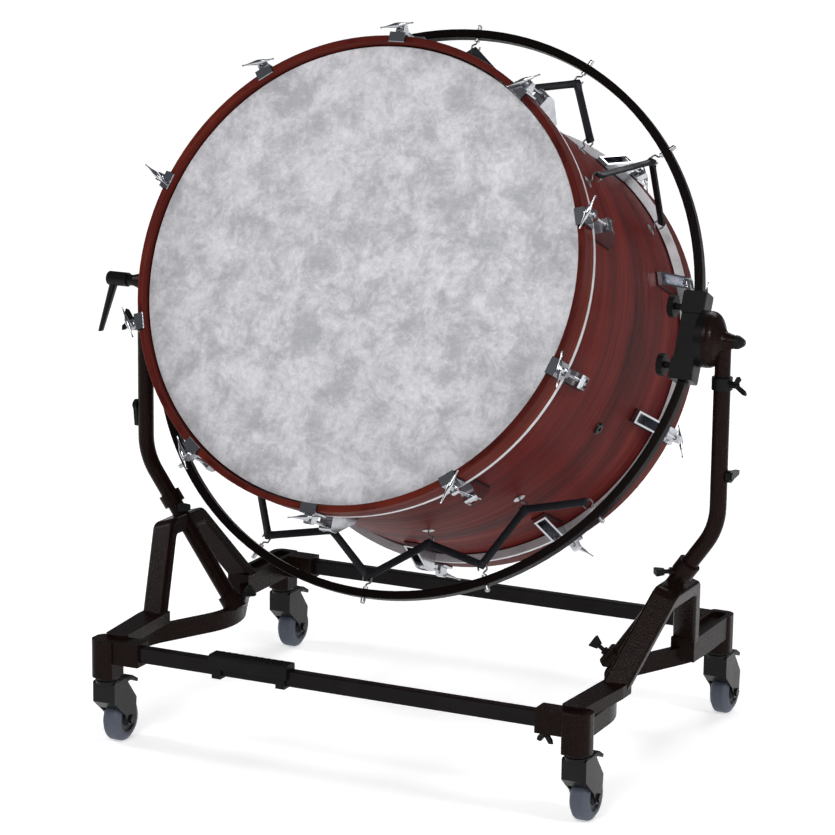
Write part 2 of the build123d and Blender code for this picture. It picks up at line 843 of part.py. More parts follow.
def make_base_frame(side, name):
    """One casting: front and back caster blocks, A-shaped legs and a bowed bottom rail."""
    rise = (APEX_Z - LEG_FOOT_Z) / cos(radians(LEG_LEAN))
    slope = LEG_SLOPE * cos(radians(LEG_LEAN))
    apex_half = LEG_FOOT_Y - slope * rise
    across = LEG_THICK * (1 + slope * slope) ** 0.5
    inner_rise = rise - 30.0
    block_depth = TOWER_DEPTH
    outboard = FRAME_OUT_X - 4.0
    with BuildPart() as frame:
        with BuildSketch(LEG_PLANE) as legs:
            Polygon(
                (-LEG_FOOT_Y - slope * 14, -14),
                (-apex_half, rise),
                (apex_half, rise),
                (LEG_FOOT_Y + slope * 14, -14),
                align=None,
            )
            fillet(legs.vertices().group_by(Axis.Y)[-1], 26)
        extrude(amount=LEG_WIDTH / 2, both=True)
        with BuildSketch(LEG_PLANE.offset(-LEG_WIDTH)) as window:
            Polygon(
                (-LEG_FOOT_Y - slope * 40 + across, -40),
                (-LEG_FOOT_Y + slope * inner_rise + across, inner_rise),
                (LEG_FOOT_Y - slope * inner_rise - across, inner_rise),
                (LEG_FOOT_Y + slope * 40 - across, -40),
                align=None,
            )
            fillet(window.vertices().group_by(Axis.Y)[-1], 16)
        extrude(amount=2 * LEG_WIDTH, mode=Mode.SUBTRACT)
        fillet(frame.edges().filter_by(GeomType.LINE), 5)
        for end in (-1, 1):
            with BuildSketch(Plane.XY.offset(SLEEVE_BOTTOM)) as sleeve:
                with Locations((SLEEVE_IN_X, end * (TOWER_Y - block_depth / 2 + 3))):
                    Rectangle(
                        FRAME_OUT_X - 26 - SLEEVE_IN_X,
                        SLEEVE_FACE - TOWER_Y + block_depth / 2 - 3,
                        align=(Align.MIN, Align.MIN if end > 0 else Align.MAX),
                    )
                fillet(sleeve.vertices().group_by(Axis.X)[0], 3)
            extrude(amount=BLOCK_TOP - SLEEVE_BOTTOM)
            with BuildSketch(Plane.XY.offset(TOWER_BOTTOM)) as tower:
                with Locations((FRAME_OUT_X, end * TOWER_Y)):
                    Rectangle(TOWER_WIDTH, block_depth, align=(Align.MAX, Align.CENTER))
                fillet(tower.vertices().group_by(Axis.X)[-1], TOWER_ROUND)
                fillet(tower.vertices().group_by(Axis.X)[0], 6)
            extrude(amount=BLOCK_TOP - TOWER_BOTTOM)
        with BuildSketch(Plane.XY.offset(FOOT_BOTTOM)) as toe:
            Polygon(
                (outboard - 14, 4 - TOWER_Y),
                (outboard - 58, 4 - TOWER_Y),
                (outboard - LEG_WIDTH, across - LEG_FOOT_Y),
                (outboard, across - LEG_FOOT_Y),
                (outboard, -LEG_FOOT_Y - 12),
                align=None,
            )
            fillet(toe.vertices().group_by(Axis.Y)[0], 12)
        extrude(amount=FOOT_TOP - FOOT_BOTTOM)
        with BuildSketch(Plane.XY.offset(SLEEVE_BOTTOM)):
            with Locations((outboard, LEG_FOOT_Y - across)):
                Rectangle(LEG_WIDTH, TOWER_Y - LEG_FOOT_Y + across, align=(Align.MAX, Align.MIN))
        extrude(amount=BLOCK_TOP - SLEEVE_BOTTOM)
        with BuildSketch(Plane.XY.offset(BLOCK_TOP - 9)):
            with Locations((outboard - LEG_WIDTH / 2, (TOWER_Y + LEG_FOOT_Y) / 2 + 18)):
                RectangleRounded(LEG_WIDTH - 18, TOWER_Y - LEG_FOOT_Y - 18, 8)
        extrude(amount=12, mode=Mode.SUBTRACT)
        with BuildSketch(Plane.XY.offset(RAIL_BOTTOM)):
            with BuildLine() as path:
                FilletPolyline(
                    (470, -TOWER_Y + 16, 0),
                    (469, -192, 0),
                    (RAIL_X - 19, 0, 0),
                    (469, 192, 0),
                    (470, TOWER_Y - 16, 0),
                    radius=150,
                )
            trace(path.line, line_width=RAIL_THICK)
        extrude(amount=RAIL_TOP - RAIL_BOTTOM)
        for end in (-1, 1):
            with BuildSketch(Plane.YZ.offset(SLEEVE_IN_X - 1)):
                with Locations((end * BAR_Y, (BAR_BOTTOM + BAR_TOP) / 2)):
                    Rectangle(BAR_DEPTH + 0.2, BAR_TOP - BAR_BOTTOM + 0.2)
            extrude(amount=50, mode=Mode.SUBTRACT)
            with BuildSketch(Plane.XY.offset(TOWER_BOTTOM - 1)):
                with Locations((CASTER_X, end * TOWER_Y)):
                    Circle(6 + RUNNING)
            extrude(amount=33, mode=Mode.SUBTRACT)
        with BuildSketch(Plane(slant_point(440.0), x_dir=(0, 1, 0), z_dir=SLANT_DIR)):
            Circle(LOWER_R + 0.1)
        extrude(amount=200, mode=Mode.SUBTRACT)
    save(on_side(frame.part, side), name)


def make_crossbar(end, name):
    half = SLEEVE_IN_X + BAR_INSERT * 10
    with BuildPart() as bar:
        with BuildSketch(Plane.YZ.offset(-half)):
            with Locations((end * BAR_Y, (BAR_BOTTOM + BAR_TOP) / 2)):
                RectangleRounded(BAR_DEPTH, BAR_TOP - BAR_BOTTOM, 2)
                Rectangle(
                    BAR_DEPTH - 2 * BAR_WALL,
                    BAR_TOP - BAR_BOTTOM - 2 * BAR_WALL,
                    mode=Mode.SUBTRACT,
                )
        extrude(amount=2 * half)
    save(bar.part, name)


def make_foot_rest():
    """Plastic foot rest clipped over the front bar, with ribs on its top."""
    top = BLOCK_TOP + 5
    middle = (REST_X0 + REST_X1) / 2
    length = REST_X1 - REST_X0
    with BuildPart() as rest:
        with BuildSketch(Plane.YZ.offset(REST_X0)) as section:
            with Locations((-BAR_Y, top)):
                Rectangle(BAR_DEPTH + 14, top - BAR_TOP + 16, align=(Align.CENTER, Align.MAX))
            fillet(section.vertices().group_by(Axis.Y)[-1], 5)
        extrude(amount=length)
        with BuildSketch(Plane.XZ.offset(BAR_Y - BAR_DEPTH / 2 - 7)):
            with Locations((middle, top - 4)):
                Trapezoid(length, top - BAR_BOTTOM - 2, 82, align=(Align.CENTER, Align.MAX))
        extrude(amount=3)
        for place in (REST_X0 + 14, REST_X1 - 14):
            with BuildSketch(Plane.YZ.offset(place - 9)):
                with Locations((-BAR_Y, BAR_BOTTOM - 5)):
                    Rectangle(
                        BAR_DEPTH + 9, top - BAR_BOTTOM, align=(Align.CENTER, Align.MIN)
                    )
            extrude(amount=18)
        with BuildSketch(Plane.YZ.offset(REST_X0 - 1)):
            with Locations((-BAR_Y, BAR_BOTTOM - 0.2)):
                Rectangle(
                    BAR_DEPTH + 0.4,
                    BAR_TOP - BAR_BOTTOM + 0.4,
                    align=(Align.CENTER, Align.MIN),
                )
        extrude(amount=length + 2, mode=Mode.SUBTRACT)
        ribs = 11
        for index in range(ribs):
            offset = (index + 1) * length / (ribs + 1)
            with BuildSketch(Plane.XY.offset(top - 0.6)):
                with Locations((REST_X0 + offset, -BAR_Y)):
                    Rectangle(3, BAR_DEPTH + 2, rotation=-35)
            extrude(amount=2.2)
    save(rest.part, "foot_rest")


# ---- casters ----------------------------------------------------------------------------
def caster_middle(corner):
    side, end = CORNERS[corner]
    return side * CASTER_X, end * TOWER_Y


def make_caster_fork(corner):
    """Stem, swivel ring, fork and axle bolt of one caster; the wheel trails to the rear."""
    x, y = caster_middle(corner)
    wheel_y = y + CASTER_TRAIL
    crown = TOWER_BOTTOM - 9.0
    with BuildPart() as fork:
        with BuildSketch(Plane.XY.offset(TOWER_BOTTOM + 0.3)):
            with Locations((x, y)):
                Circle(6)
        extrude(amount=30)
        with BuildSketch(Plane.XY.offset(TOWER_BOTTOM - 0.3)):
            with Locations((x, y)):
                Circle(20)
        extrude(amount=-4)
        with BuildSketch(Plane.XY.offset(TOWER_BOTTOM - 4.3)):
            with Locations((x, y)):
                Circle(18)
        extrude(amount=-2)
        with BuildSketch(Plane.XY.offset(TOWER_BOTTOM - 6.3)):
            with Locations((x, y)):
                Circle(22)
        extrude(amount=-5)
        with BuildSketch(Plane.XY.offset(TOWER_BOTTOM - 2)):
            with Locations((x, y)):
                Circle(6)
        extrude(amount=4)
        with BuildSketch(Plane.YZ.offset(x - FORK_HALF - FORK_WALL)) as cheek:
            Polygon(
                (y - 13, crown),
                (y + 28, crown),
                (wheel_y + 20, WHEEL_R + 38),
                (wheel_y + 17, WHEEL_R + 8),
                (wheel_y + 9, WHEEL_R - 10),
                (wheel_y - 9, WHEEL_R - 10),
                (wheel_y - 22, WHEEL_R + 14),
                (y - 13, WHEEL_R + 44),
                align=None,
            )
            fillet(cheek.vertices().group_by(Axis.Y)[0], 8)
            fillet(cheek.vertices().group_by(Axis.Y)[-1], 4)
        extrude(amount=2 * (FORK_HALF + FORK_WALL))
        with BuildSketch(Plane.YZ.offset(x - FORK_HALF)):
            with Locations((wheel_y, WHEEL_R)):
                Circle(WHEEL_R + 5)
            with Locations((wheel_y, WHEEL_R)):
                Rectangle(2 * WHEEL_R + 10, 100, align=(Align.CENTER, Align.MAX))
            with Locations((y + 14, crown - 4)):
                Rectangle(100, 60, align=(Align.MIN, Align.MAX))
        extrude(amount=2 * FORK_HALF, mode=Mode.SUBTRACT)
        with BuildSketch(Plane.YZ.offset(x - FORK_HALF - FORK_WALL - 3)):
            with Locations((wheel_y, WHEEL_R)):
                Circle(CASTER_AXLE_R)
        extrude(amount=2 * (FORK_HALF + FORK_WALL + 3))
        for step in (-1, 1):
            with BuildSketch(Plane.YZ.offset(x + step * (FORK_HALF + FORK_WALL))):
                with Locations((wheel_y, WHEEL_R)):
                    RegularPolygon(8, 6)
            extrude(amount=step * 4)
    save(fork.part, f"{corner}_caster_fork")


def make_tyre(corner):
    x, y = caster_middle(corner)
    wheel = Plane((x, y + CASTER_TRAIL, WHEEL_R), x_dir=(0, 0, 1), z_dir=(1, 0, 0))
    half = WHEEL_WIDTH / 2
    with BuildPart() as tyre:
        with BuildSketch(Plane(wheel.origin, x_dir=(1, 0, 0), z_dir=(0, -1, 0))) as section:
            Polygon(
                (-half, HUB_R),
                (-half, WHEEL_R - 10),
                (-half * 0.62, WHEEL_R),
                (half * 0.62, WHEEL_R),
                (half, WHEEL_R - 10),
                (half, HUB_R),
                align=None,
            )
            fillet(section.vertices().group_by(Axis.Y)[-1], 7)
            fillet(section.vertices().group_by(Axis.Y)[1], 3)
        revolve(axis=Axis(wheel.origin, (1, 0, 0)))
    save(tyre.part, f"{corner}_tyre")


def make_hub(corner):
    x, y = caster_middle(corner)
    centre = (x, y + CASTER_TRAIL, WHEEL_R)
    half = WHEEL_WIDTH / 2
    with BuildPart() as hub:
        with BuildSketch(Plane(centre, x_dir=(1, 0, 0), z_dir=(0, -1, 0))):
            Polygon(
                (-half - 1.5, CASTER_AXLE_R + RUNNING),
                (-half - 1.5, 12),
                (-half + 4, 14),
                (-half + 4, HUB_R - 5),
                (-half, HUB_R - 3),
                (-half, HUB_R),
                (half, HUB_R),
                (half, HUB_R - 3),
                (half - 4, HUB_R - 5),
                (half - 4, 14),
                (half + 1.5, 12),
                (half + 1.5, CASTER_AXLE_R + RUNNING),
                align=None,
            )
        revolve(axis=Axis(centre, (1, 0, 0)))
    save(hub.part, f"{corner}_hub")


def make_brake_pedal(corner):
    """Pedal hinged between the fork's cheeks above the wheel and pointing to the rear."""
    x, y = caster_middle(corner)
    hinge_y = y + 24
    with BuildPart() as pedal:
        with BuildSketch(Plane.YZ.offset(x - 14)):
            Polygon(
                (hinge_y - 4, TOWER_BOTTOM - 22),
                (hinge_y + 8, TOWER_BOTTOM - 14.5),
                (hinge_y + 42, TOWER_BOTTOM - 14.5),
                (hinge_y + 62, TOWER_BOTTOM - 26),
                (hinge_y + 60, TOWER_BOTTOM - 32),
                (hinge_y + 40, TOWER_BOTTOM - 21),
                (hinge_y + 12, TOWER_BOTTOM - 24),
                align=None,
            )
        extrude(amount=28)
        fillet(pedal.edges().filter_by(Axis.X), 1.2)
    save(pedal.part, f"{corner}_brake_pedal")


make_shell()
make_air_vent()
make_head(FRONT_END, "front_head")
make_head(BACK_END, "back_head")
make_counterhoop(FRONT_END, "front_counterhoop")
make_counterhoop(BACK_END, "back_counterhoop")
make_flesh_hoops()
make_claws()
make_claw_pads()
make_tension_rods()
make_lugs()
make_lug_gaskets()
make_strap_hooks()
make_hook_fasteners()
make_straps()
make_suspension_ring()
make_ring_clamps()
make_pivot_plates()
make_axle_cap()
make_tilt_lock_lever()
make_lower_posts()
make_post_collars()
make_post_clamps()
make_foot_rest()
make_crossbar(-1, "front_crossbar")
make_crossbar(1, "back_crossbar")
for side_name, side in SIDES.items():
    for step_name, step in (("upper", 1), ("lower", -1)):
        make_ring_clamp_knob(side, step, f"{side_name}_{step_name}_ring_knob")
        make_t_knob(side, step_name, f"{side_name}_{step_name}_t_knob")
    make_pivot_post(side, f"{side_name}_pivot_post")
    make_wing_screw(wing_plane(side), f"{side_name}_wing_screw", turn=35)
    make_height_lever(side, 180 if side < 0 else 90, f"{side_name}_height_lever")
    make_base_frame(side, f"{side_name}_base_frame")
for end_name, end in (("front", -1), ("back", 1)):
    seat = Plane((SLEEVE_IN_X + 14, end * TOWER_Y, SLEEVE_BOTTOM), x_dir=(1, 0, 0), z_dir=(0, 0, -1))
    make_wing_screw(seat, f"{end_name}_bar_wing_bolt", turn=20, span=16)
for corner_name in CORNERS:
    make_caster_fork(corner_name)
    make_tyre(corner_name)
    make_hub(corner_name)
    make_brake_pedal(corner_name)
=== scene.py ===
import json
from math import cos, pi, radians, sin

import bmesh
import bpy
from mathutils import Matrix, Vector


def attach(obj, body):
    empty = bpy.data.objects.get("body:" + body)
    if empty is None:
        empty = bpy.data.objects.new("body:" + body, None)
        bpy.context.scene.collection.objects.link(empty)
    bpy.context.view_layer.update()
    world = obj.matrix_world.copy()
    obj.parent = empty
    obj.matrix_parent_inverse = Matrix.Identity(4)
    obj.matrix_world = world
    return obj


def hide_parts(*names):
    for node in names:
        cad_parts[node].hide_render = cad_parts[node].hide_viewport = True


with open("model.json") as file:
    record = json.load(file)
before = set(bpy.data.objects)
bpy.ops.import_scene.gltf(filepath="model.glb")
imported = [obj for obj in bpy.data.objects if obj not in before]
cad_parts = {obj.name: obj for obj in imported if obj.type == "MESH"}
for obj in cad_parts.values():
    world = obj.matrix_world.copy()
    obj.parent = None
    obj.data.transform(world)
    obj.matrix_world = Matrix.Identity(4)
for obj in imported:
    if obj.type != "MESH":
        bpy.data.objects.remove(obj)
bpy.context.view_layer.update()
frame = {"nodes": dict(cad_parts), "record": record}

AXIS_H = 0.8
DRUM_TILT = radians(22.8)
RING_TILT = radians(25.2)


# ---- material building blocks -------------------------------------------------------------
class Recipe:
    """One procedural material, built round a Principled shader. Its lengths are in metres."""

    def __init__(self, name):
        self.material = bpy.data.materials.new(name)
        self.material.use_nodes = True
        self.nodes = self.material.node_tree.nodes
        self.links = self.material.node_tree.links
        self.nodes.clear()
        output = self.nodes.new("ShaderNodeOutputMaterial")
        self.shader = self.nodes.new("ShaderNodeBsdfPrincipled")
        self.links.new(self.shader.outputs["BSDF"], output.inputs["Surface"])

    def put(self, socket, value):
        if isinstance(value, bpy.types.NodeSocket):
            self.links.new(value, socket)
        else:
            socket.default_value = value

    def set(self, **values):
        for key, value in values.items():
            self.put(self.shader.inputs[key.replace("_", " ")], value)

    def place(self):
        return self.nodes.new("ShaderNodeTexCoord").outputs["Object"]

    def reach(self):
        """Distance from the origin."""
        node = self.nodes.new("ShaderNodeVectorMath")
        node.operation = "LENGTH"
        self.put(node.inputs[0], self.place())
        return node.outputs["Value"]

    def drum_place(self):
        """Position in the drum's own frame: -Y out of the front head, Z up the head."""
        shift = self.nodes.new("ShaderNodeVectorMath")
        shift.operation = "SUBTRACT"
        self.put(shift.inputs[0], self.place())
        shift.inputs[1].default_value = (0, 0, AXIS_H)
        turn = self.nodes.new("ShaderNodeVectorRotate")
        turn.rotation_type = "X_AXIS"
        self.put(turn.inputs["Vector"], shift.outputs[0])
        turn.inputs["Angle"].default_value = DRUM_TILT
        return turn.outputs[0]

    def scaled(self, vector, factors):
        node = self.nodes.new("ShaderNodeVectorMath")
        node.operation = "MULTIPLY"
        self.put(node.inputs[0], vector)
        node.inputs[1].default_value = factors
        return node.outputs[0]

    def noise(self, vector, scale, detail=4.0, roughness=0.5, distortion=0.0):
        node = self.nodes.new("ShaderNodeTexNoise")
        self.put(node.inputs["Vector"], vector)
        node.inputs["Scale"].default_value = scale
        node.inputs["Detail"].default_value = detail
        node.inputs["Roughness"].default_value = roughness
        node.inputs["Distortion"].default_value = distortion
        return node.outputs["Fac"]

    def cells(self, vector, scale):
        node = self.nodes.new("ShaderNodeTexVoronoi")
        node.feature = "SMOOTH_F1"
        self.put(node.inputs["Vector"], vector)
        node.inputs["Scale"].default_value = scale
        return node.outputs["Distance"]

    def ramp(self, factor, *stops):
        node = self.nodes.new("ShaderNodeValToRGB")
        self.put(node.inputs["Fac"], factor)
        elements = node.color_ramp.elements
        while len(elements) < len(stops):
            elements.new(0.5)
        for element, (position, colour) in zip(elements, stops):
            element.position = position
            element.color = (*colour, 1)
        return node.outputs["Color"]

    def span(self, factor, low, high, to_low, to_high):
        node = self.nodes.new("ShaderNodeMapRange")
        self.put(node.inputs["Value"], factor)
        node.inputs["From Min"].default_value = low
        node.inputs["From Max"].default_value = high
        node.inputs["To Min"].default_value = to_low
        node.inputs["To Max"].default_value = to_high
        return node.outputs["Result"]

    def mix(self, factor, first, second):
        node = self.nodes.new("ShaderNodeMix")
        node.data_type = "RGBA"
        self.put(node.inputs["Factor"], factor)
        colours = [s for s in node.inputs if s.type == "RGBA"]
        self.put(colours[0], first if isinstance(first, bpy.types.NodeSocket) else (*first, 1))
        self.put(colours[1], second if isinstance(second, bpy.types.NodeSocket) else (*second, 1))
        return [s for s in node.outputs if s.type == "RGBA"][0]

    def bump(self, height, strength, distance, under=None):
        node = self.nodes.new("ShaderNodeBump")
        node.inputs["Strength"].default_value = strength
        node.inputs["Distance"].default_value = distance
        self.put(node.inputs["Height"], height)
        if under is not None:
            self.put(node.inputs["Normal"], under)
        return node.outputs["Normal"]


def wood(name, dark, middle, light, coat):
    """Stained mahogany veneer whose grain runs round the drum."""
    r = Recipe(name)
    p = r.drum_place()
    figure = r.noise(r.scaled(p, (1.1, 16, 1.1)), 1.0, 6, 0.6, 0.3)
    lines = r.noise(r.scaled(p, (2.6, 120, 2.6)), 1.0, 5, 0.65, 0.2)
    pores = r.noise(r.scaled(p, (16, 900, 16)), 1.0, 3, 0.6)
    colour = r.ramp(figure, (0.30, dark), (0.48, middle), (0.70, light))
    colour = r.mix(r.span(lines, 0.38, 0.62, 0.30, 0.0), colour, dark)
    colour = r.mix(r.span(pores, 0.52, 0.66, 0.0, 0.5), colour, tuple(c * 0.35 for c in dark))
    r.set(
        Base_Color=colour,
        Roughness=r.span(lines, 0.3, 0.7, 0.50, 0.36),
        Coat_Weight=coat,
        Coat_Roughness=0.24,
        IOR=1.09,
        Normal=r.bump(pores, 0.25, 0.0004, r.bump(lines, 0.12, 0.0006)),
    )
    return r.material


def head_film():
    """Matte head film with a clouded felt of grey fibres in it."""
    r = Recipe("head_film")
    p = r.drum_place()
    flat = r.scaled(p, (1, 0.15, 1))
    clouds = r.noise(flat, 17, 14, 0.76, 0.3)
    patches = r.noise(flat, 4.2, 5, 0.6)
    flecks = r.noise(flat, 90, 8, 0.75, 0.5)
    threads = r.noise(r.scaled(flat, (26, 1, 170)), 1.0, 6, 0.7, 1.8)
    strands = r.noise(r.scaled(flat, (150, 1, 34)), 1.0, 6, 0.7, 1.8)
    colour = r.ramp(
        clouds,
        (0.40, (0.40, 0.40, 0.42)),
        (0.47, (0.51, 0.508, 0.530)),
        (0.53, (0.62, 0.617, 0.64)),
        (0.62, (0.69, 0.686, 0.71)),
    )
    colour = r.mix(r.span(patches, 0.36, 0.62, 0.18, 0.0), colour, (0.36, 0.36, 0.378))
    colour = r.mix(r.span(flecks, 0.40, 0.60, 0.34, 0.0), colour, (0.28, 0.28, 0.30))
    colour = r.mix(r.span(threads, 0.58, 0.72, 0.0, 0.40), colour, (0.70, 0.70, 0.71))
    colour = r.mix(r.span(strands, 0.60, 0.74, 0.0, 0.35), colour, (0.34, 0.34, 0.36))
    r.set(
        Base_Color=colour,
        Roughness=r.span(flecks, 0.3, 0.7, 0.62, 0.50),
        Specular_IOR_Level=0.3,
        Normal=r.bump(flecks, 0.08, 0.0004, r.bump(threads, 0.05, 0.0003)),
    )
    return r.material


def hammered(name, dark, light, scale, glint_amount, gloss):
    """Hammered paint: small smooth dimples with metallic flakes between them, the flakes' light
    colour a painted glint.
    """
    r = Recipe(name)
    p = r.place()
    warped = r.noise(p, 24, 3, 0.5)
    dimples = r.cells(p, scale)
    flake_glints = r.noise(p, scale * 2.2, 2, 0.6)
    tone = r.ramp(dimples, (0.10, light), (0.36, dark))
    tone = r.mix(r.span(warped, 0.3, 0.7, 0.0, 0.5), tone, dark)
    # Painted glints: the flake spots are tinted a light brown that stands in for glints on the
    # hammered bumps.
    tone = r.mix(r.span(flake_glints, 0.60, 0.70, 0.0, glint_amount), tone, (0.16, 0.09, 0.075))
    r.set(
        Base_Color=tone,
        Metallic=r.span(flake_glints, 0.58, 0.68, 0.0, 0.6),
        Roughness=r.span(dimples, 0.1, 0.6, gloss, gloss + 0.12),
        IOR=1.13,
        Normal=r.bump(dimples, 0.5, 0.0005),
    )
    return r.material


def metal(name, colour, roughness, scratch=0.06, metallic=1.0):
    """Plated or bare metal with faint polishing marks and finger haze."""
    r = Recipe(name)
    p = r.place()
    haze = r.noise(p, 35, 4, 0.6)
    marks = r.noise(r.scaled(p, (60, 900, 60)), 1.0, 3, 0.7)
    duller = tuple(c * 0.82 for c in colour)
    r.set(
        Base_Color=r.mix(r.span(haze, 0.4, 0.7, 0.0, 1.0), colour, duller),
        Metallic=metallic,
        Roughness=r.span(haze, 0.3, 0.7, roughness, roughness + scratch),
        Normal=r.bump(marks, 0.05, 0.0002),
    )
    return r.material


def moulded(name, colour, roughness, grain=900, strength=0.25, wear=0.25, shine=1.25):
    """Moulded plastic, rubber or satin paint: fine grain, faint dust and rubbed patches."""
    r = Recipe(name)
    p = r.place()
    rubbed = r.noise(p, 22, 6, 0.62, 0.2)
    fine = r.noise(p, grain, 2, 0.5)
    lighter = tuple(min(1, c * 1.7 + 0.006) for c in colour)
    r.set(
        Base_Color=r.mix(r.span(rubbed, 0.45, 0.72, 0.0, wear), colour, lighter),
        Roughness=r.span(rubbed, 0.3, 0.7, roughness + 0.06, roughness - 0.06),
        IOR=shine,
        Normal=r.bump(fine, strength, 0.0003),
    )
    return r.material


MATERIALS = {
    "shell_wood": wood(
        "shell_wood", (0.036, 0.0045, 0.0048), (0.098, 0.0085, 0.0072), (0.165, 0.0175, 0.0105), 0.01
    ),
    "hoop_wood": wood(
        "hoop_wood", (0.036, 0.0058, 0.0052), (0.092, 0.0125, 0.0088), (0.155, 0.024, 0.013), 0.03
    ),
    "head_film": head_film(),
    "aluminium": metal("aluminium", (0.66, 0.66, 0.68), 0.46, metallic=0.6),
    "chrome": metal("chrome", (0.50, 0.51, 0.54), 0.13, 0.05),
    "steel": metal("steel", (0.46, 0.46, 0.48), 0.26),
    "hook_wire": metal("hook_wire", (0.16, 0.16, 0.17), 0.34),
    "black_rubber": moulded("black_rubber", (0.006, 0.006, 0.007), 0.62, 700, 0.2, 0.25, 1.2),
    "strap_rubber": moulded("strap_rubber", (0.009, 0.010, 0.013), 0.5, 600, 0.3, 0.35, 1.25),
    # For ring_paint and hammertone the fifth number sets how much painted glint is speckled in.
    "ring_paint": hammered(
        "ring_paint", (0.0030, 0.0017, 0.0017), (0.007, 0.004, 0.0035), 380, 0.08, 0.26
    ),
    "hammertone": hammered(
        "hammertone", (0.0070, 0.0035, 0.0031), (0.024, 0.0125, 0.0095), 340, 0.25, 0.18
    ),
    "black_metal": moulded("black_metal", (0.0040, 0.0040, 0.0045), 0.34, 500, 0.15, 0.3, 1.22),
    "black_paint": moulded("black_paint", (0.0045, 0.0032, 0.0036), 0.32, 420, 0.2, 0.3, 1.2),
    "black_plastic": moulded("black_plastic", (0.0050, 0.0050, 0.0055), 0.48, 800, 0.3, 0.3, 1.2),
    "fork_black": moulded("fork_black", (0.0045, 0.0045, 0.0050), 0.28, 400, 0.12, 0.3, 1.25),
    "grey_tyre": moulded("grey_tyre", (0.066, 0.077, 0.102), 0.55, 650, 0.25, 0.35, 1.35),
    "hub_plastic": moulded("hub_plastic", (0.020, 0.022, 0.027), 0.45, 800, 0.25, 0.25, 1.3),
}

for entry in frame["record"]["subparts"]:
    node = frame["nodes"][entry["node"]]
    node.data.materials.clear()
    node.data.materials.append(MATERIALS[entry["material_slot"]])

# ---- suspension straps --------------------------------------------------------------------
# Radii, lengths and thicknesses in metres, angles in degrees from the top of the drum.
SHELL_BAR = 0.4304
RING_BAR = 0.495
BAND = 0.0023
BAND_CHAMFER = BAND * 0.32
BAND_WIDTH = 0.0135
RUNS_APART = 0.0001
WIRE = 0.0016
LOOP_EASE = 0.016
RUN_STEPS = 24
LOOP_STEPS = 10
HOOK_STEP = 25.5
SHOULDER_ANGLE = 56.2
SHOULDER_FRONT = 0.147
SHOULDER_BACK = -0.180
LOW_RING_ANGLES = (129.0, 154.5)


def tilted(tilt, angle, radius, along=0.0):
    """A point round the drum's or the ring's axis, clockwise from the top as the front sees it."""
    a = radians(angle)
    axis = Vector((0, -cos(tilt), sin(tilt)))
    up = Vector((0, sin(tilt), cos(tilt)))
    middle = Vector((0, 0, AXIS_H))
    return middle + Vector((1, 0, 0)) * (radius * sin(a)) + up * (radius * cos(a)) + axis * along


def band_section():
    """A flat band's rounded cross-section, as (across, outward) points."""
    w, t, c = BAND_WIDTH / 2, BAND / 2, BAND_CHAMFER
    top = [(-w, t - c), (-w + c, t), (w - c, t), (w, t - c)]
    return top + [(-across, -outward) for across, outward in top]


def strap_mesh(name, start, end, across, first_lift, last_lift):
    """An endless flat band looped round two hook wires, its two runs pressed together between."""
    run = end - start
    along = run.normalized()
    across = (across - along * across.dot(along)).normalized()
    normal = along.cross(across)
    first = WIRE + BAND * (0.5 + first_lift)
    last = WIRE + BAND * (0.5 + last_lift)
    closed = BAND / 2 + RUNS_APART
    length = run.length
    half = []
    for step in range(RUN_STEPS + 1):
        s = step / RUN_STEPS * length
        near = max(0.0, 1 - s / LOOP_EASE)
        far = max(0.0, 1 - (length - s) / LOOP_EASE)
        ease_near = near * near * (3 - 2 * near)
        ease_far = far * far * (3 - 2 * far)
        half.append((s, closed + (first - closed) * ease_near + (last - closed) * ease_far))
    path = list(half)
    for step in range(1, LOOP_STEPS):
        a = pi / 2 - pi * step / LOOP_STEPS
        path.append((length + last * cos(a), last * sin(a)))
    path += [(s, -h) for s, h in reversed(half)]
    for step in range(1, LOOP_STEPS):
        a = -pi / 2 - pi * step / LOOP_STEPS
        path.append((first * cos(a), first * sin(a)))
    mesh = bmesh.new()
    section = band_section()
    rings = []
    count = len(path)
    for index, (s, h) in enumerate(path):
        before = path[index - 1]
        after = path[(index + 1) % count]
        tangent = Vector((after[0] - before[0], after[1] - before[1])).normalized()
        outward = Vector((-tangent.y, tangent.x))
        ring = []
        for side, out in section:
            u = s + outward.x * out
            v = h + outward.y * out
            ring.append(mesh.verts.new(start + along * u + normal * v + across * side))
        rings.append(ring)
    for index, ring in enumerate(rings):
        following = rings[(index + 1) % count]
        for corner in range(len(section)):
            other = (corner + 1) % len(section)
            mesh.faces.new((ring[corner], ring[other], following[other], following[corner]))
    bmesh.ops.recalc_face_normals(mesh, faces=mesh.faces)
    data = bpy.data.meshes.new(name)
    mesh.to_mesh(data)
    mesh.free()
    for face in data.polygons:
        face.use_smooth = True
    piece = bpy.data.objects.new(name, data)
    bpy.context.scene.collection.objects.link(piece)
    data.materials.append(MATERIALS["strap_rubber"])
    return piece


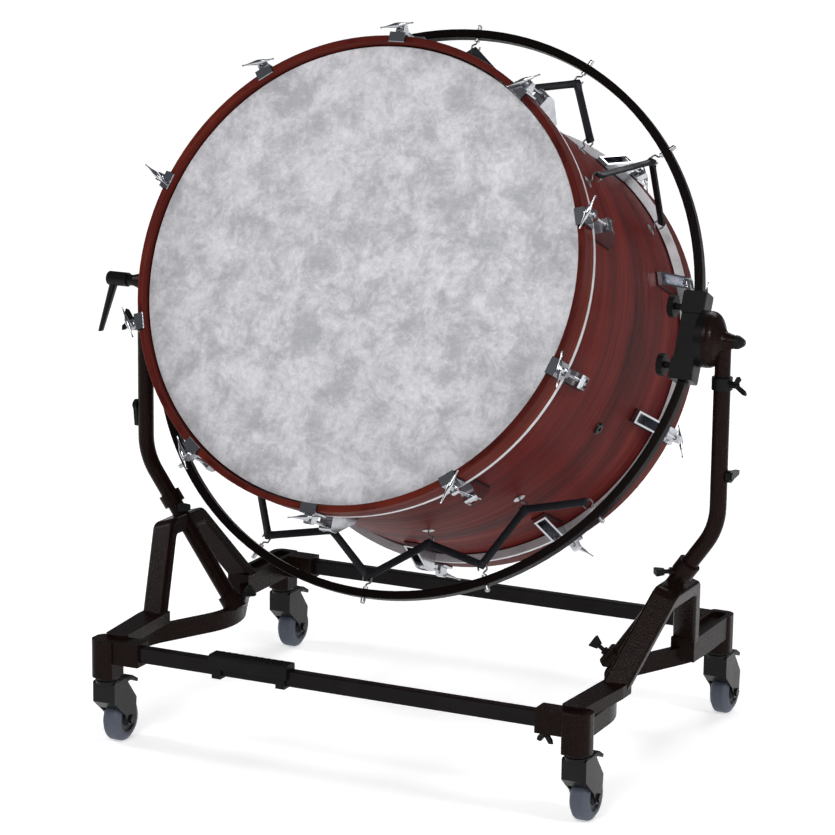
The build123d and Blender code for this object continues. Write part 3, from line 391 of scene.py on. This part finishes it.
def straps():
    """Eighteen straps: a zigzag at the top and the bottom, and a front and a back one each side."""
    drum_axis = Vector((0, -cos(DRUM_TILT), sin(DRUM_TILT)))
    rows = []
    for side, word in ((-1, "left"), (1, "right")):
        top_1, top_2, low_1, low_2 = (side * HOOK_STEP * n for n in (0.5, 1.5, 5.55, 6.55))
        ring_1, ring_2 = side * HOOK_STEP, side * 2 * HOOK_STEP
        ring_3, ring_4 = (side * angle for angle in LOW_RING_ANGLES)
        shoulder = side * SHOULDER_ANGLE
        over = 0 if side < 0 else 1
        rows += [
            (f"{word}_top_a", top_1, 0.0, 0.0, 0, over),
            (f"{word}_top_b", top_1, 0.0, ring_1, 1, 0),
            (f"{word}_top_c", top_2, 0.0, ring_1, 0, 1),
            (f"{word}_front", shoulder, SHOULDER_FRONT, ring_2, 0, 0),
            (f"{word}_back", shoulder, SHOULDER_BACK, ring_2, 0, 1),
            (f"{word}_low_a", low_1, 0.0, ring_3, 0, 0),
            (f"{word}_low_b", low_1, 0.0, ring_4, 1, 0),
            (f"{word}_low_c", low_2, 0.0, ring_4, 0, 1),
            (f"{word}_low_d", low_2, 0.0, 180.0, 1, over),
        ]
    for name, shell_angle, along, ring_angle, first_lift, last_lift in rows:
        low = tilted(DRUM_TILT, shell_angle, SHELL_BAR, along)
        high = tilted(RING_TILT, ring_angle, RING_BAR)
        across = drum_axis.cross(high - low)
        piece = strap_mesh(f"strap_{name}", low, high, across, first_lift, last_lift)
        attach(piece, "cradle")
    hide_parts("suspension_straps")


straps()

# ---- floor, light and camera --------------------------------------------------------------
FLOOR = 40
CAMERA_AT = (2.4802, -5.1831, 1.9009)
CAMERA_AZIMUTH = 0.4474
CAMERA_ELEVATION = 0.2226
CAMERA_ROLL = 0.0124

floor_data = bpy.data.meshes.new("floor")
floor_data.from_pydata(
    [(-FLOOR, -FLOOR, 0), (FLOOR, -FLOOR, 0), (FLOOR, FLOOR, 0), (-FLOOR, FLOOR, 0)],
    [],
    [(0, 1, 2, 3)],
)
floor = bpy.data.objects.new("floor", floor_data)
bpy.context.scene.collection.objects.link(floor)
floor_look = Recipe("glowing_floor_paper")
floor_look.set(
    Base_Color=floor_look.mix(
        floor_look.span(floor_look.noise(floor_look.place(), 6, 3), 0.3, 0.7, 0.0, 1.0),
        (0.86, 0.86, 0.86),
        (0.84, 0.84, 0.845),
    ),
    Roughness=0.9,
    Emission_Color=(1, 1, 1, 1),
    # Painted glow: the floor emits light, dimmer near the drum and brightening from 1.5 m to 6 m
    # out, standing in for a lit white backdrop.
    Emission_Strength=floor_look.span(floor_look.reach(), 1.5, 6.0, 0.50, 0.92),
)
floor_data.materials.append(floor_look.material)


def softbox(name, place, target, width, height, energy):
    """A rectangular area light aimed at a point."""
    data = bpy.data.lights.new(name, "AREA")
    data.shape = "RECTANGLE"
    data.size = width
    data.size_y = height
    data.energy = energy
    lamp = bpy.data.objects.new(name, data)
    lamp.location = place
    lamp.rotation_euler = (Vector(target) - Vector(place)).to_track_quat("-Z", "Y").to_euler()
    bpy.context.scene.collection.objects.link(lamp)


softbox("key", (0.6, -4.6, 4.2), (0, 0, 0.9), 2.4, 2.0, 158)
softbox("right", (4.6, -0.9, 2.3), (0.3, 0, 0.8), 0.7, 1.1, 90)
softbox("back", (0.5, 3.4, 3.4), (0, 0, 0.8), 3.0, 1.4, 70)
softbox("left", (-4.0, -0.6, 2.2), (0, 0, 0.6), 1.0, 2.0, 60)

world = bpy.data.worlds.new("studio")
world.use_nodes = True
world.node_tree.nodes["Background"].inputs["Color"].default_value = (0.9, 0.93, 1.0, 1)
world.node_tree.nodes["Background"].inputs["Strength"].default_value = 0.12
bpy.context.scene.world = world
bpy.context.scene.view_settings.view_transform = "Standard"


def look_from(azimuth, elevation, roll):
    """The turn of a camera that looks at the drum from this azimuth and elevation, in radians."""
    back = Vector((sin(azimuth) * cos(elevation), -cos(azimuth) * cos(elevation), sin(elevation)))
    right = Vector((cos(azimuth), sin(azimuth), 0))
    up = back.cross(right)
    turned_right = right * cos(roll) + up * sin(roll)
    turned_up = up * cos(roll) - right * sin(roll)
    return Matrix((turned_right, turned_up, back)).transposed()


lens = bpy.data.cameras.new("camera")
lens.lens = 139.3
lens.sensor_width = 36.0
lens.clip_end = 200.0
camera = bpy.data.objects.new("camera", lens)
turn = look_from(CAMERA_AZIMUTH, CAMERA_ELEVATION, CAMERA_ROLL)
camera.matrix_world = Matrix.Translation(CAMERA_AT) @ turn.to_4x4()
bpy.context.scene.collection.objects.link(camera)
bpy.context.scene.camera = camera
